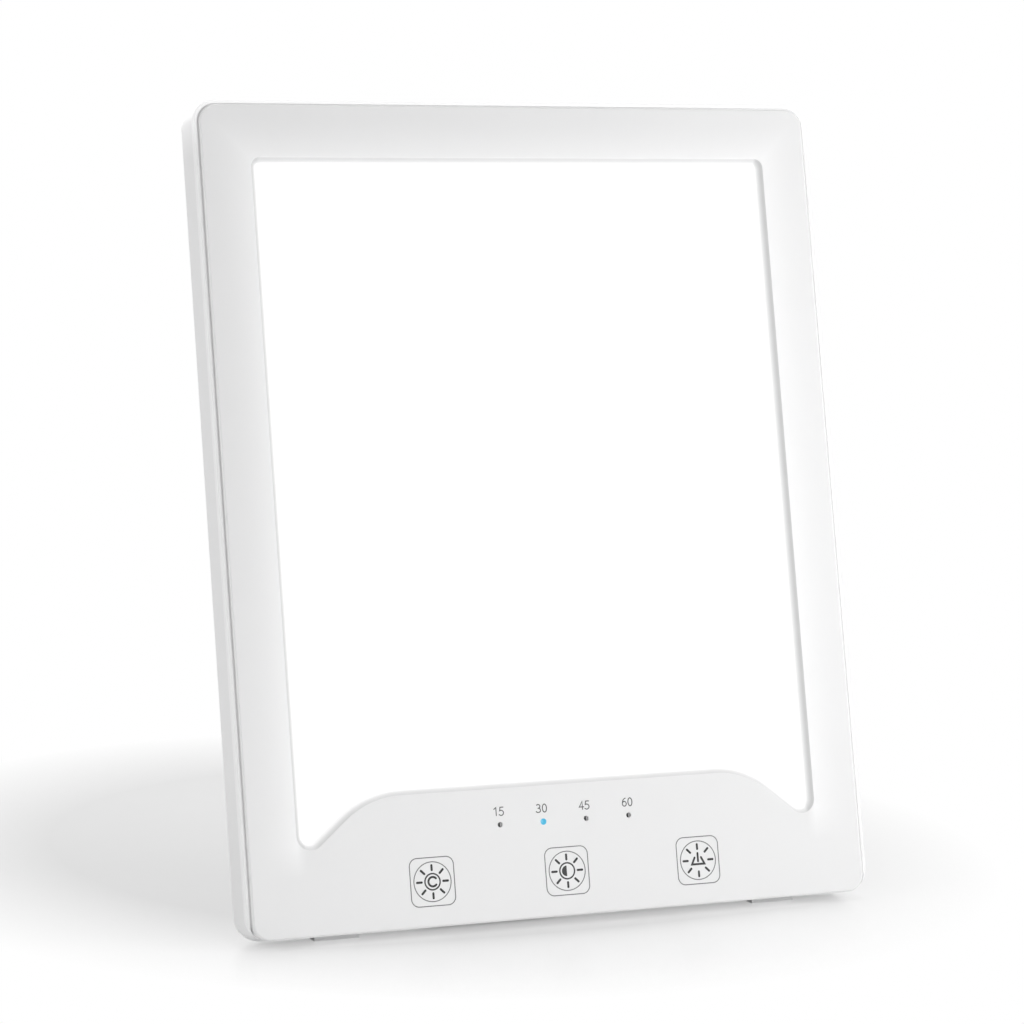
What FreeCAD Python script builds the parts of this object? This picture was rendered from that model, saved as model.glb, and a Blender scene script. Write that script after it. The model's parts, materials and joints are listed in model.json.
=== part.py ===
import FreeCAD, Part

import math
import os

from FreeCAD import Vector

# Light therapy lamp: a slim edge-lit light panel that leans back on a fold-out leg.
# The leg hangs from a turntable in the back, so the lamp stands upright or on its side.
# Millimetres. The panel is drawn upright first: X to the right, Y is the depth behind
# the bezel's face, Z is the height above the bezel's lower edge. At the end everything
# is leaned back and set on the floor, with Z up and the origin at the foot of its box.

# ---- Driving dimensions -------------------------------------------------------------

# How the lamp stands
lean_deg = 11.4
leg_open_deg = 22.0
foot_proud = 0.5

# Front bezel
bezel_width = 200.0
bezel_height = 248.7
bezel_corner = 5.5
bezel_plate = 2.0
bezel_edge_round = 0.7
lip_depth = 1.2
lip_fit = 0.1
skirt_wall = 1.2
skirt_length = 3.5
skirt_fit = 0.2

# Window in the bezel, with the raised control area below it
window_side_border = 15.0
window_top_border = 16.0
window_top_corner = 3.0
window_lean_in = 2.2
window_edge_round = 0.4
control_height = 39.7
control_slope_deg = 40.0
control_shoulder = 28.0
pocket_height = 25.4
pocket_corner = 4.5

# Rear cover
case_wall = 2.4
case_back = 2.2
case_corner = 7.3
rear_round = 4.0
rim_width = 1.3
rim_setback = 1.0
rim_round = 0.8
shadow_gap = 0.5

# Light stack, from the front backwards
diffuser_thickness = 1.5
film_thickness = 0.25
guide_thickness = 3.0
reflector_thickness = 0.25
plate_thickness = 1.0
sheet_overlap = 3.0
guide_overlap = 1.6
led_gap = 0.1
led_depth = 1.4
led_height = 2.6
led_pitch = 7.0
led_board_thickness = 1.0
led_board_foot = 24.0
led_board_top_gap = 2.0
flange_foot = 34.0
plate_tab_width = 10.0
plate_tab_reach = 4.0
plate_to_screws_gap = 0.6

# Control board and what it carries
board_thickness = 1.2
board_front = 5.3
board_width = 124.0
board_foot = 4.5
board_top = 21.5
board_tab_width = 72.0
board_tab_gap = 4.7
key_pitch = 43.5
key_height = 13.5
electrode_radius = 5.5
timer_count = 4
timer_pitch = 14.07
timer_centre = 0.5
timer_height = 28.85
timer_hole_radius = 0.8
pipe_fit = 0.05
pipe_recess = 1.4
pipe_flange_radius = 1.5
pipe_gap = 0.1
indicator_size = 1.6
indicator_height = 0.8
chip_size = 6.0
chip_height = 1.0
chip_drop = 2.0
coil_size = 7.0
coil_height = 4.0
coil_chamfer = 1.2
coil_end_gap = 33.0
capacitor_radius = 3.1
capacitor_height = 6.0
capacitor_gap = 1.2
capacitor_end_gap = 13.0
socket_width = 6.0
socket_height = 4.0
socket_depth = 1.9
socket_level = 18.2
lead_radius = 0.7
lead_bend_share = 0.45

# Power jack for a round plug with a centre pin
jack_end_gap = 28.0
jack_height = 12.0
jack_size = 9.0
jack_bore_radius = 3.1
jack_bore_depth = 8.4
jack_pin_radius = 1.0
jack_pin_round = 0.5
jack_pin_sunk = 0.9
jack_window_gap = 0.3
jack_sunk = 0.4
jack_spring_thickness = 0.4
jack_spring_width = 3.0
jack_spring_sunk = 2.1

# Screws
case_screw_side_inset = 4.9
case_screw_low_inset = 14.5
case_screw_high_inset = 10.1
case_boss_radius = 2.8
case_boss_end = 9.0
case_post_radius = 3.6
case_screw_head_radius = 2.6
case_screw_head = 1.8
case_screw_radius = 1.2
case_screw_length = 6.5
case_seat_wall = 2.2
small_screw_radius = 0.9
small_screw_head_radius = 2.0
small_screw_head = 1.2
small_screw_length = 4.0
small_boss_radius = 2.5
screw_head_gap = 0.3
screw_hole_gap = 0.2
screw_tip_gap = 0.6
screw_bite_gap = 0.02
screw_head_round_share = 0.45
screw_cross_share = 0.7
plate_screw_side_inset = 40.0
plate_screw_top_inset = 8.0
plate_screw_tab_gap = 9.0
plate_screw_low_inset = 8.0
board_screw_side_inset = 4.0
board_screw_top_inset = 8.0
tab_screw_side_inset = 4.5
tab_screw_top_inset = 4.0

# Air slots in the rear cover
vent_width = 2.0
vent_length = 16.0
vent_pitch = 6.0
vent_top_count = 17
vent_top_inset = 31.0
vent_low_count = 9
vent_low_gap = 7.0

# Rubber feet under the rear cover
foot_inset = 30.0
foot_length = 14.0
foot_front = 8.5
foot_back = 12.5
foot_pocket = 0.8

# Turntable in the rear cover
turntable_radius = 50.0
turntable_proud = 0.4
turntable_wall = 2.0
turntable_rim_wall = 4.0
turntable_edge_round = 0.6
turntable_gap = 0.4
turntable_lift = 0.1
recess_depth = 3.9
recess_wall = 1.8
hub_radius = 10.0
hub_fit = 0.05
hub_core_radius = 14.0
slip_washer_thickness = 0.4
slip_washer_radius = 15.0
slip_gap = 0.05
ring_radius = 15.0
ring_thickness = 0.8
ring_hole_radius = 3.0
ring_screw_count = 3
ring_screw_circle = 6.5
ring_screw_radius = 0.8
ring_screw_head_radius = 1.6
ring_screw_head = 0.9
ring_screw_length = 4.5

# Hinge and leg
pivot_inset = 12.0
pivot_height = 3.7
ear_radius = 4.0
ear_width = 5.0
ear_gap = 0.3
ear_pin_fit = 0.02
pin_radius = 1.5
pin_end_gap = 0.4
leg_pin_fit = 0.05
leg_root_width = 30.0
leg_tip_width = 44.0
leg_root_straight = 8.0
leg_thickness = 3.6
leg_fold_gap = 0.8
leg_cam_radius = 4.4
leg_cam_fold_gap = 0.3
leg_stop_gap = 0.05
leg_panel_border = 5.0
leg_panel_depth = 0.8
leg_panel_head = 14.0
finger_hole_width = 24.0
finger_hole_height = 14.0
finger_hole_from_tip = 24.0
tip_radius = 2.4
tip_sleeve = 7.0
tip_side_wall = 0.6

# How far a cutting tool runs past the surface that it starts from, and the length
# below which an edge counts as flat
cut_past = 1.0
tiny = 1e-6

# ---- Sizes worked out from them -----------------------------------------------------

lean = math.radians(lean_deg)
leg_open = math.radians(leg_open_deg)

case_half = bezel_width / 2 + shadow_gap + rim_width
case_top = bezel_height + shadow_gap + rim_width
case_bottom = 0.0
seat_half = bezel_width / 2 + shadow_gap
seat_top = bezel_height + shadow_gap
seat_corner = case_corner - rim_width

film_front = bezel_plate + diffuser_thickness
guide_front = film_front + film_thickness
reflector_front = guide_front + guide_thickness
plate_front = reflector_front + reflector_thickness
plate_rear = plate_front + plate_thickness

guide_half = bezel_width / 2 - window_side_border + guide_overlap
led_board_inner = guide_half + led_gap + led_depth
flange_inner = led_board_inner + led_board_thickness
plate_overlap = flange_inner + plate_thickness - bezel_width / 2 + window_side_border
window_top = bezel_height - window_top_border
plate_top = window_top + plate_overlap
plate_low = control_height - plate_overlap

board_rear = board_front + board_thickness
board_tab_top = control_height - board_tab_gap
timer_places = [
    timer_centre + (number - (timer_count - 1) / 2) * timer_pitch
    for number in range(timer_count)
]
timer_minutes = [15 * (number + 1) for number in range(timer_count)]
indicator_front = board_front - indicator_height
pipe_end = indicator_front - pipe_gap
key_places = (-key_pitch, 0.0, key_pitch)

# The case is as deep as the light stack and the turntable's fixings behind it
ring_front = plate_rear + plate_to_screws_gap + ring_screw_head
hub_end = ring_front + ring_thickness
slip_washer_front = hub_end + slip_gap
recess_inner = slip_washer_front + slip_washer_thickness + slip_gap
recess_floor = recess_inner + recess_wall
case_depth = recess_floor + recess_depth
case_inner_back = case_depth - case_back

jack_x = -(board_width / 2 - jack_end_gap)
jack_mouth = case_depth - jack_sunk
jack_bore_floor = jack_mouth - jack_bore_depth
jack_spring_end = jack_mouth - jack_spring_sunk

foot_x = case_half - foot_inset
turntable_level = case_bottom + case_half
turntable_face = case_depth + turntable_proud

vent_top_level = bezel_height - vent_top_inset
vent_low_level = (
    turntable_level - turntable_radius - turntable_gap - vent_low_gap - vent_length / 2
)

pivot_depth = turntable_face + pivot_height
pivot_level = turntable_level + turntable_radius - pivot_inset
leg_inner = turntable_face + leg_fold_gap
leg_outer = leg_inner + leg_thickness
leg_middle = (leg_inner + leg_outer) / 2

# The lowest point of the rear cover is on its rounded lower back edge. The floor lies
# foot_proud below it.
floor_level = (
    (case_bottom + rear_round) * math.cos(lean)
    - (case_depth - rear_round) * math.sin(lean)
    - rear_round
    - foot_proud
)

# The leg is as long as it takes for its round tip to stand on the floor when open.
leg_angle = leg_open - lean
pivot_above_floor = (
    pivot_level * math.cos(lean) - pivot_depth * math.sin(lean) - floor_level
)
tip_offset = leg_middle - pivot_depth
leg_length = (
    pivot_above_floor - tip_radius + tip_offset * math.sin(leg_angle)
) / math.cos(leg_angle)
tip_back = (
    pivot_depth * math.cos(lean)
    + pivot_level * math.sin(lean)
    + tip_offset * math.cos(leg_angle)
    + leg_length * math.sin(leg_angle)
    + tip_radius
)
case_back_reach = (
    (case_depth - rear_round) * math.cos(lean)
    + (case_top - rear_round) * math.sin(lean)
    + rear_round
)
front_reach = bezel_edge_round * (math.cos(lean) + math.sin(lean) - 1)
middle_depth = (front_reach + max(tip_back, case_back_reach)) / 2

# Leans the upright panel back about the bezel's lower edge and sets it on the floor.
standing = FreeCAD.Placement(
    Vector(0, -middle_depth, -floor_level),
    FreeCAD.Rotation(Vector(1, 0, 0), -lean_deg),
)

# ---- Shapes -------------------------------------------------------------------------


def box(x0, x1, y0, y1, z0, z1):
    """A block between two corners."""
    return Part.makeBox(x1 - x0, y1 - y0, z1 - z0, Vector(x0, y0, z0))


def side_box(side, near, far, y0, y1, z0, z1):
    """A block on one side of X = 0, from near to far."""
    if side < 0:
        return box(-far, -near, y0, y1, z0, z1)
    return box(near, far, y0, y1, z0, z1)


def rod(x, z, radius, y0, y1):
    """A cylinder through the panel's depth, from y0 back to y1."""
    return Part.makeCylinder(radius, y1 - y0, Vector(x, y0, z), Vector(0, 1, 0))


def axle(x0, x1, y, z, radius):
    """A cylinder along X."""
    return Part.makeCylinder(radius, x1 - x0, Vector(x0, y, z), Vector(1, 0, 0))


def tube(x, z, outer, inner, y0, y1):
    """A ring or tube through the panel's depth."""
    return rod(x, z, outer, y0, y1).cut(rod(x, z, inner, y0, y1))


def joined(shapes):
    """One solid from touching or crossing ones, without leftover seams."""
    return shapes[0].fuse(shapes[1:]).removeSplitter()


def line(x0, z0, x1, z1, y):
    """A straight edge at the depth y."""
    return Part.LineSegment(Vector(x0, y, z0), Vector(x1, y, z1)).toShape()


def arc(x, z, radius, start_deg, end_deg, y):
    """A round edge about (x, z) at the depth y."""
    points = []
    for degrees in (start_deg, (start_deg + end_deg) / 2, end_deg):
        angle = math.radians(degrees)
        points.append(Vector(x + radius * math.cos(angle), y, z + radius * math.sin(angle)))
    return Part.Arc(*points).toShape()


def slab(wire, thickness):
    """A plate that starts at a flat outline and goes backwards."""
    return Part.Face(wire).extrude(Vector(0, thickness, 0))


def rounded_outline(half_width, bottom, top, radius, y):
    """A rectangle about X = 0 with round corners."""
    x = half_width - radius
    low = bottom + radius
    high = top - radius
    return Part.Wire(
        [
            line(-x, bottom, x, bottom, y),
            arc(x, low, radius, -90, 0, y),
            line(half_width, low, half_width, high, y),
            arc(x, high, radius, 0, 90, y),
            line(x, top, -x, top, y),
            arc(-x, high, radius, 90, 180, y),
            line(-half_width, high, -half_width, low, y),
            arc(-x, low, radius, 180, 270, y),
        ]
    )


def window_outline(grow, y):
    """The window's outline, moved outwards by grow: a rectangle whose lower edge rises
    over the control area, with a round shoulder and a sloping side at each end."""
    slope = math.radians(control_slope_deg)
    half = bezel_width / 2 - window_side_border
    corner_x = half - window_top_corner
    corner_z = window_top - window_top_corner
    pocket_x = half - pocket_corner
    pocket_z = pocket_height + pocket_corner
    foot_of_slope_x = pocket_x - pocket_corner * math.sin(slope)
    foot_of_slope_z = pocket_z - pocket_corner * math.cos(slope)
    rise = control_height - foot_of_slope_z
    meeting_x = foot_of_slope_x - rise / math.tan(slope)
    shoulder_x = meeting_x - control_shoulder * math.tan(slope / 2)
    shoulder_z = control_height - control_shoulder

    side = half + grow
    top = window_top + grow
    floor = control_height - grow
    shoulder = control_shoulder - grow
    pocket = pocket_corner + grow
    corner = window_top_corner + grow
    head_x = shoulder_x + shoulder * math.sin(slope)
    head_z = shoulder_z + shoulder * math.cos(slope)
    tail_x = pocket_x - pocket * math.sin(slope)
    tail_z = pocket_z - pocket * math.cos(slope)
    turn = control_slope_deg
    return Part.Wire(
        [
            line(-shoulder_x, floor, shoulder_x, floor, y),
            arc(shoulder_x, shoulder_z, shoulder, 90, 90 - turn, y),
            line(head_x, head_z, tail_x, tail_z, y),
            arc(pocket_x, pocket_z, pocket, -90 - turn, 0, y),
            line(side, pocket_z, side, corner_z, y),
            arc(corner_x, corner_z, corner, 0, 90, y),
            line(corner_x, top, -corner_x, top, y),
            arc(-corner_x, corner_z, corner, 90, 180, y),
            line(-side, corner_z, -side, pocket_z, y),
            arc(-pocket_x, pocket_z, pocket, 180, 270 + turn, y),
            line(-tail_x, tail_z, -head_x, head_z, y),
            arc(-shoulder_x, shoulder_z, shoulder, 90 + turn, 90, y),
        ]
    )


def edges_at(shape, y):
    """The edges of a shape that lie wholly at one depth."""
    found = []
    for edge in shape.Edges:
        if all(abs(vertex.Point.y - y) < tiny for vertex in edge.Vertexes):
            found.append(edge)
    return found


def edges_along_depth(shape):
    """The straight edges of a block that run backwards."""
    found = []
    for edge in shape.Edges:
        if abs(edge.Vertexes[0].Point.y - edge.Vertexes[-1].Point.y) > tiny:
            found.append(edge)
    return found


def screw(x, z, seat, radius, length, head_radius, head_height):
    """A screw driven forwards: its head lies behind the seat, its shank in front of it."""
    shank = rod(x, z, radius, seat - length, seat)
    head = rod(x, z, head_radius, seat, seat + head_height)
    top = seat + head_height
    rounded = head.makeFillet(head_height * screw_head_round_share, edges_at(head, top))
    reach = radius * screw_cross_share
    arm = reach / 3
    bottom = top - head_height / 2
    cross = joined(
        [
            box(x - reach, x + reach, bottom, top, z - arm, z + arm),
            box(x - arm, x + arm, bottom, top, z - reach, z + reach),
        ]
    )
    return joined([shank, rounded]).cut(cross)


def pairs_at(x, levels):
    """Places on both sides of X = 0, at each level."""
    return [(side * x, level) for level in levels for side in (-1, 1)]


# Where the screws go

case_screw_x = case_half - case_wall - case_screw_side_inset
case_screw_low = case_bottom + case_wall + case_screw_low_inset
case_screw_high = case_top - case_wall - case_screw_high_inset
case_screw_middle = (case_screw_low + case_screw_high) / 2
case_screw_places = pairs_at(case_screw_x, [case_screw_low, case_screw_middle, case_screw_high])

plate_screws_high = pairs_at(
    bezel_width / 2 - plate_screw_side_inset, [bezel_height - plate_screw_top_inset]
)
plate_screws_low = pairs_at(
    board_tab_width / 2 + plate_screw_tab_gap, [control_height - plate_screw_low_inset]
)
plate_screw_places = plate_screws_high + plate_screws_low

board_screws_wide = pairs_at(
    board_width / 2 - board_screw_side_inset, [board_top - board_screw_top_inset]
)
board_screws_tab = pairs_at(
    board_tab_width / 2 - tab_screw_side_inset, [board_tab_top - tab_screw_top_inset]
)
board_screw_places = board_screws_wide + board_screws_tab


def small_boss(place, end):
    """A screw boss on the back of the bezel's face, with its pilot hole."""
    x, z = place
    solid = rod(x, z, small_boss_radius, bezel_plate, end)
    depth = small_screw_length + screw_tip_gap
    return solid.cut(rod(x, z, small_screw_radius + screw_bite_gap, end - depth, end))


def windowed_sheet():
    """A sheet larger than the bezel, with the window in it: its sides lean in towards the
    diffuser, and the edge round its mouth is rounded."""
    slant = window_lean_in / bezel_plate
    over = bezel_plate / 8
    opening = Part.makeLoft(
        [
            window_outline(slant * over, -over),
            window_outline(-slant * (bezel_plate + over), bezel_plate + over),
        ],
        True,
        True,
    )
    outline = rounded_outline(case_half, case_bottom - case_wall, case_top, case_corner, 0)
    sheet = slab(outline, bezel_plate).cut(opening)
    return sheet.makeFillet(window_edge_round, edges_at(sheet, 0))


def make_front_bezel():
    """The face with its window, a lip that floors the groove round it, a skirt that
    slides into the rear cover, and bosses."""
    face = slab(rounded_outline(bezel_width / 2, 0, bezel_height, bezel_corner, 0), bezel_plate)
    face = face.makeFillet(bezel_edge_round, edges_at(face, 0))
    inset = case_wall + skirt_fit
    outer = rounded_outline(
        case_half - inset,
        case_bottom + inset,
        case_top - inset,
        case_corner - inset,
        bezel_plate,
    )
    inner = rounded_outline(
        case_half - inset - skirt_wall,
        case_bottom + inset + skirt_wall,
        case_top - inset - skirt_wall,
        case_corner - inset - skirt_wall,
        bezel_plate,
    )
    skirt = slab(outer, skirt_length).cut(slab(inner, skirt_length))
    lip = slab(
        rounded_outline(
            seat_half - lip_fit,
            case_bottom + lip_fit,
            seat_top - lip_fit,
            seat_corner - lip_fit,
            lip_depth,
        ),
        bezel_plate - lip_depth,
    )
    bosses = []
    for x, z in case_screw_places:
        boss = rod(x, z, case_boss_radius, bezel_plate, case_boss_end)
        shank_end = case_boss_end + case_seat_wall - case_screw_length
        pilot = case_screw_radius + screw_bite_gap
        bosses.append(boss.cut(rod(x, z, pilot, shank_end - screw_tip_gap, case_boss_end)))
    bosses += [small_boss(place, plate_front) for place in plate_screw_places]
    bosses += [small_boss(place, board_front) for place in board_screw_places]
    plate = joined([face, lip]).common(windowed_sheet())
    bezel = joined([plate, skirt] + bosses)
    end = bezel_plate + cut_past
    holes = [rod(x, timer_height, timer_hole_radius, -cut_past, end) for x in timer_places]
    return bezel.cut(holes)


def foot_box(side, low, high):
    """The block of one rubber foot, between two levels."""
    x = side * foot_x
    return box(x - foot_length / 2, x + foot_length / 2, foot_front, foot_back, low, high)


def vent_row(count, level):
    """A row of upright slots with round ends, cut through the rear cover's back."""
    slots = []
    radius = vent_width / 2
    low = level - vent_length / 2 + radius
    high = level + vent_length / 2 - radius
    start = recess_inner
    end = case_depth + cut_past
    for number in range(count):
        x = (number - (count - 1) / 2) * vent_pitch
        slots.append(box(x - radius, x + radius, start, end, low, high))
        slots.append(rod(x, low, radius, start, end))
        slots.append(rod(x, high, radius, start, end))
    return slots


def make_rear_cover():
    """A tray with a rim round the bezel's sides and top, screw posts and the turntable's
    recess. Along the bottom it is flush with the bezel, and the rim runs out there."""
    outline = rounded_outline(case_half, case_bottom, case_top, case_corner, rim_setback)
    tray = slab(outline, case_depth - rim_setback)
    tray = tray.makeFillet(rear_round, edges_at(tray, case_depth))
    tray = tray.makeFillet(rim_round, edges_at(tray, rim_setback))
    hollow = slab(
        rounded_outline(
            case_half - case_wall,
            case_bottom + case_wall,
            case_top - case_wall,
            case_corner - case_wall,
            0,
        ),
        case_inner_back,
    )
    seat = slab(
        rounded_outline(seat_half, case_bottom - cut_past, seat_top, seat_corner, 0), bezel_plate
    )
    recess_radius = turntable_radius + turntable_gap
    back = case_depth + cut_past
    well = rod(0, turntable_level, recess_radius + recess_wall, recess_inner, case_inner_back)
    parts = [tray.cut([hollow, seat]), well]
    cuts = [
        rod(0, turntable_level, recess_radius, recess_floor, back),
        rod(0, turntable_level, hub_radius + hub_fit, recess_inner - cut_past, recess_floor + cut_past),
    ]
    head_seat = case_boss_end + case_seat_wall
    for x, z in case_screw_places:
        parts.append(rod(x, z, case_post_radius, case_boss_end, case_inner_back))
        cuts.append(rod(x, z, case_screw_head_radius + screw_head_gap, head_seat, back))
        hole = case_screw_radius + screw_hole_gap
        cuts.append(rod(x, z, hole, case_boss_end - cut_past, head_seat + cut_past))
    half = jack_size / 2 + jack_window_gap
    cuts.append(
        box(jack_x - half, jack_x + half, recess_inner, back, jack_height - half, jack_height + half)
    )
    cuts += vent_row(vent_top_count, vent_top_level)
    cuts += vent_row(vent_low_count, vent_low_level)
    cuts += [foot_box(side, case_bottom - cut_past, case_bottom + foot_pocket) for side in (-1, 1)]
    return joined(parts).cut(cuts)


def make_back_plate():
    """The metal plate behind the light stack, with a flange beside each LED strip."""
    parts = [slab(window_outline(plate_overlap, plate_front), plate_thickness)]
    outside = flange_inner + plate_thickness
    for side in (-1, 1):
        parts.append(
            side_box(side, flange_inner, outside, guide_front, plate_front, flange_foot, window_top)
        )
    tabs = [(x, plate_top - plate_tab_reach, z + plate_tab_reach) for x, z in plate_screws_high]
    tabs += [(x, z - plate_tab_reach, plate_low + plate_tab_reach) for x, z in plate_screws_low]
    half = plate_tab_width / 2
    parts += [box(x - half, x + half, plate_front, plate_rear, low, high) for x, low, high in tabs]
    hole = small_screw_radius + screw_hole_gap
    start = plate_front - cut_past
    end = plate_rear + cut_past
    return joined(parts).cut([rod(x, z, hole, start, end) for x, z in plate_screw_places])


def make_led_board(side):
    """The narrow metal board along one edge of the light guide."""
    top = window_top - led_board_top_gap
    return side_box(
        side, led_board_inner, flange_inner, guide_front, plate_front, led_board_foot, top
    )


def make_led_chips(side):
    """The LEDs on one board, as wide as the light guide's edge that they face."""
    inner = led_board_inner - led_depth
    outer = led_board_inner
    low = control_height
    high = window_top - led_board_top_gap - led_height
    steps = int((high - low) / led_pitch)
    levels = [low + number * led_pitch for number in range(steps + 1)]
    return Part.makeCompound(
        [
            side_box(side, inner, outer, guide_front, reflector_front, z, z + led_height)
            for z in levels
        ]
    )


def make_control_board():
    """The circuit board behind the keys, with a tab up to the timer lights."""
    half = board_width / 2
    tab_half = board_tab_width / 2
    wide = box(-half, half, board_front, board_rear, board_foot, board_top)
    tab = box(-tab_half, tab_half, board_front, board_rear, board_foot, board_tab_top)
    hole = small_screw_radius + screw_hole_gap
    start = board_front - cut_past
    end = board_rear + cut_past
    return joined([wide, tab]).cut([rod(x, z, hole, start, end) for x, z in board_screw_places])


def make_light_pipe(x):
    """A clear rod that carries one timer light to the bezel's face."""
    front = rod(x, timer_height, timer_hole_radius - pipe_fit, pipe_recess, bezel_plate)
    flange = rod(x, timer_height, pipe_flange_radius, bezel_plate, pipe_end)
    return joined([front, flange])


def upright_block(x, z, size, front, rear):
    """A square block about (x, z)."""
    half = size / 2
    return box(x - half, x + half, front, rear, z - half, z + half)


def make_indicator_leds():
    """The small LEDs on the board, one behind each light pipe."""
    return Part.makeCompound(
        [
            upright_block(x, timer_height, indicator_size, indicator_front, board_front)
            for x in timer_places
        ]
    )


def make_touch_electrodes():
    """The conductive pads between the board and the back of the bezel's face."""
    return Part.makeCompound(
        [rod(x, key_height, electrode_radius, bezel_plate, board_front) for x in key_places]
    )


def make_chips():
    """The two control chips on the back of the board."""
    rear = board_rear + chip_height
    places = [(timer_centre, timer_height - chip_drop), (key_pitch / 4, key_height - chip_drop)]
    return Part.makeCompound(
        [upright_block(x, z, chip_size, board_rear, rear) for x, z in places]
    )


def make_coil():
    """The power converter's coil."""
    x = board_width / 2 - coil_end_gap
    body = upright_block(x, key_height, coil_size, board_rear, board_rear + coil_height)
    return body.makeChamfer(coil_chamfer, edges_along_depth(body))


def make_capacitors():
    """Two cans on the back of the board, beside the coil."""
    cans = []
    for number in range(2):
        step = number * (2 * capacitor_radius + capacitor_gap)
        x = board_width / 2 - capacitor_end_gap - step
        rear = board_rear + capacitor_height
        cans.append(rod(x, key_height, capacitor_radius, board_rear, rear))
    return Part.makeCompound(cans)


def make_lead_sockets():
    """The connectors at the two ends of the board, on its front."""
    outer = board_width / 2
    inner = outer - socket_width
    front = board_front - socket_depth
    low = socket_level - socket_height / 2
    high = socket_level + socket_height / 2
    return Part.makeCompound(
        [side_box(side, inner, outer, front, board_front, low, high) for side in (-1, 1)]
    )


def make_led_lead(side):
    """The lead from a connector along the lower edge and up to its LED board."""
    y = board_front - socket_depth / 2
    start = side * board_width / 2
    corner = side * (led_board_inner + led_board_thickness / 2)
    bend = lead_bend_share * (led_board_foot - socket_level)
    first = Vector(start, y, socket_level)
    run_end = Vector(corner - side * bend, y, socket_level)
    rise_start = Vector(corner, y, socket_level + bend)
    last = Vector(corner, y, led_board_foot)
    diagonal = bend * math.sqrt(0.5)
    middle = Vector(corner - side * (bend - diagonal), y, socket_level + bend - diagonal)
    path = Part.Wire(
        [
            Part.LineSegment(first, run_end).toShape(),
            Part.Arc(run_end, middle, rise_start).toShape(),
            Part.LineSegment(rise_start, last).toShape(),
        ]
    )
    section = Part.Wire([Part.makeCircle(lead_radius, first, Vector(side, 0, 0))])
    return path.makePipeShell([section], True, False)


def spring_space(low):
    """The narrow space over the jack's bore, from a level up to the spring's top."""
    half = jack_spring_width / 2
    high = jack_height + jack_bore_radius + jack_spring_thickness
    return box(jack_x - half, jack_x + half, jack_bore_floor, jack_spring_end, low, high)


def make_power_jack():
    """The jack's moulded body with the plug's bore."""
    body = upright_block(jack_x, jack_height, jack_size, board_rear, jack_mouth)
    bore = rod(jack_x, jack_height, jack_bore_radius, jack_bore_floor, jack_mouth + cut_past)
    return body.cut([bore, spring_space(jack_height)])


def make_jack_pin():
    """The centre pin, rooted in the floor of the bore."""
    end = jack_mouth - jack_pin_sunk
    pin = rod(jack_x, jack_height, jack_pin_radius, jack_bore_floor, end)
    return pin.makeFillet(jack_pin_round, edges_at(pin, end))


def make_jack_spring():
    """The leaf that touches the plug's sleeve."""
    return spring_space(jack_height + jack_bore_radius)


def make_small_screws(places, seat):
    """Small screws with their heads on a seat."""
    radius = small_screw_radius
    head_radius = small_screw_head_radius
    return Part.makeCompound(
        [
            screw(x, z, seat, radius, small_screw_length, head_radius, small_screw_head)
            for x, z in places
        ]
    )


def make_case_screws():
    """The screws that hold the rear cover to the bezel."""
    seat = case_boss_end + case_seat_wall
    radius = case_screw_radius
    head_radius = case_screw_head_radius
    return Part.makeCompound(
        [
            screw(x, z, seat, radius, case_screw_length, head_radius, case_screw_head)
            for x, z in case_screw_places
        ]
    )


def make_rubber_feet():
    """Two pads in the lower edge, cut flat where they stand on the floor."""
    reach = case_top
    below_floor = box(-case_half, case_half, -reach, reach, -reach, 0)
    below_floor.Placement = standing.inverse()
    feet = []
    for side in (-1, 1):
        block = foot_box(side, case_bottom - case_depth, case_bottom + foot_pocket)
        feet.append(block.cut(below_floor))
    return Part.makeCompound(feet)


def make_turntable():
    """The disc, hollow from below, with its hub and the two ears of the hinge."""
    level = turntable_level
    bottom = recess_floor + turntable_lift
    under_face = turntable_face - turntable_wall
    disc = rod(0, level, turntable_radius, bottom, turntable_face)
    disc = disc.makeFillet(turntable_edge_round, edges_at(disc, turntable_face))
    hollow_radius = turntable_radius - turntable_rim_wall
    hollow = tube(0, level, hollow_radius, hub_core_radius, bottom, under_face)
    parts = [disc.cut(hollow), rod(0, level, hub_radius, hub_end, under_face)]
    near = leg_root_width / 2 + ear_gap
    far = near + ear_width
    low = pivot_level - ear_radius
    high = pivot_level + ear_radius
    for side in (-1, 1):
        parts.append(side_box(side, near, far, under_face, pivot_depth, low, high))
        start = min(side * near, side * far)
        parts.append(axle(start, start + ear_width, pivot_depth, pivot_level, ear_radius))
    cuts = [axle(-far, far, pivot_depth, pivot_level, pin_radius + ear_pin_fit)]
    end = hub_end + ring_screw_length - ring_thickness + screw_tip_gap
    for x, z in ring_screw_places():
        cuts.append(rod(x, z, ring_screw_radius + screw_bite_gap, hub_end, end))
    return joined(parts).cut(cuts)


def ring_screw_places():
    """The screws of the retaining ring, evenly round the hub."""
    places = []
    for number in range(ring_screw_count):
        angle = 2 * math.pi * number / ring_screw_count
        places.append(
            (ring_screw_circle * math.sin(angle), turntable_level + ring_screw_circle * math.cos(angle))
        )
    return places


def make_retaining_ring():
    """The steel ring on the hub's end that keeps the turntable in its recess."""
    ring = tube(0, turntable_level, ring_radius, ring_hole_radius, ring_front, hub_end)
    hole = ring_screw_radius + screw_hole_gap
    start = ring_front - cut_past
    end = hub_end + cut_past
    return ring.cut([rod(x, z, hole, start, end) for x, z in ring_screw_places()])


def make_slip_washer():
    """The plastic washer that the ring drags on the rear cover, which holds the turntable."""
    return tube(
        0,
        turntable_level,
        slip_washer_radius,
        hub_radius + hub_fit,
        slip_washer_front,
        slip_washer_front + slip_washer_thickness,
    )


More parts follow.
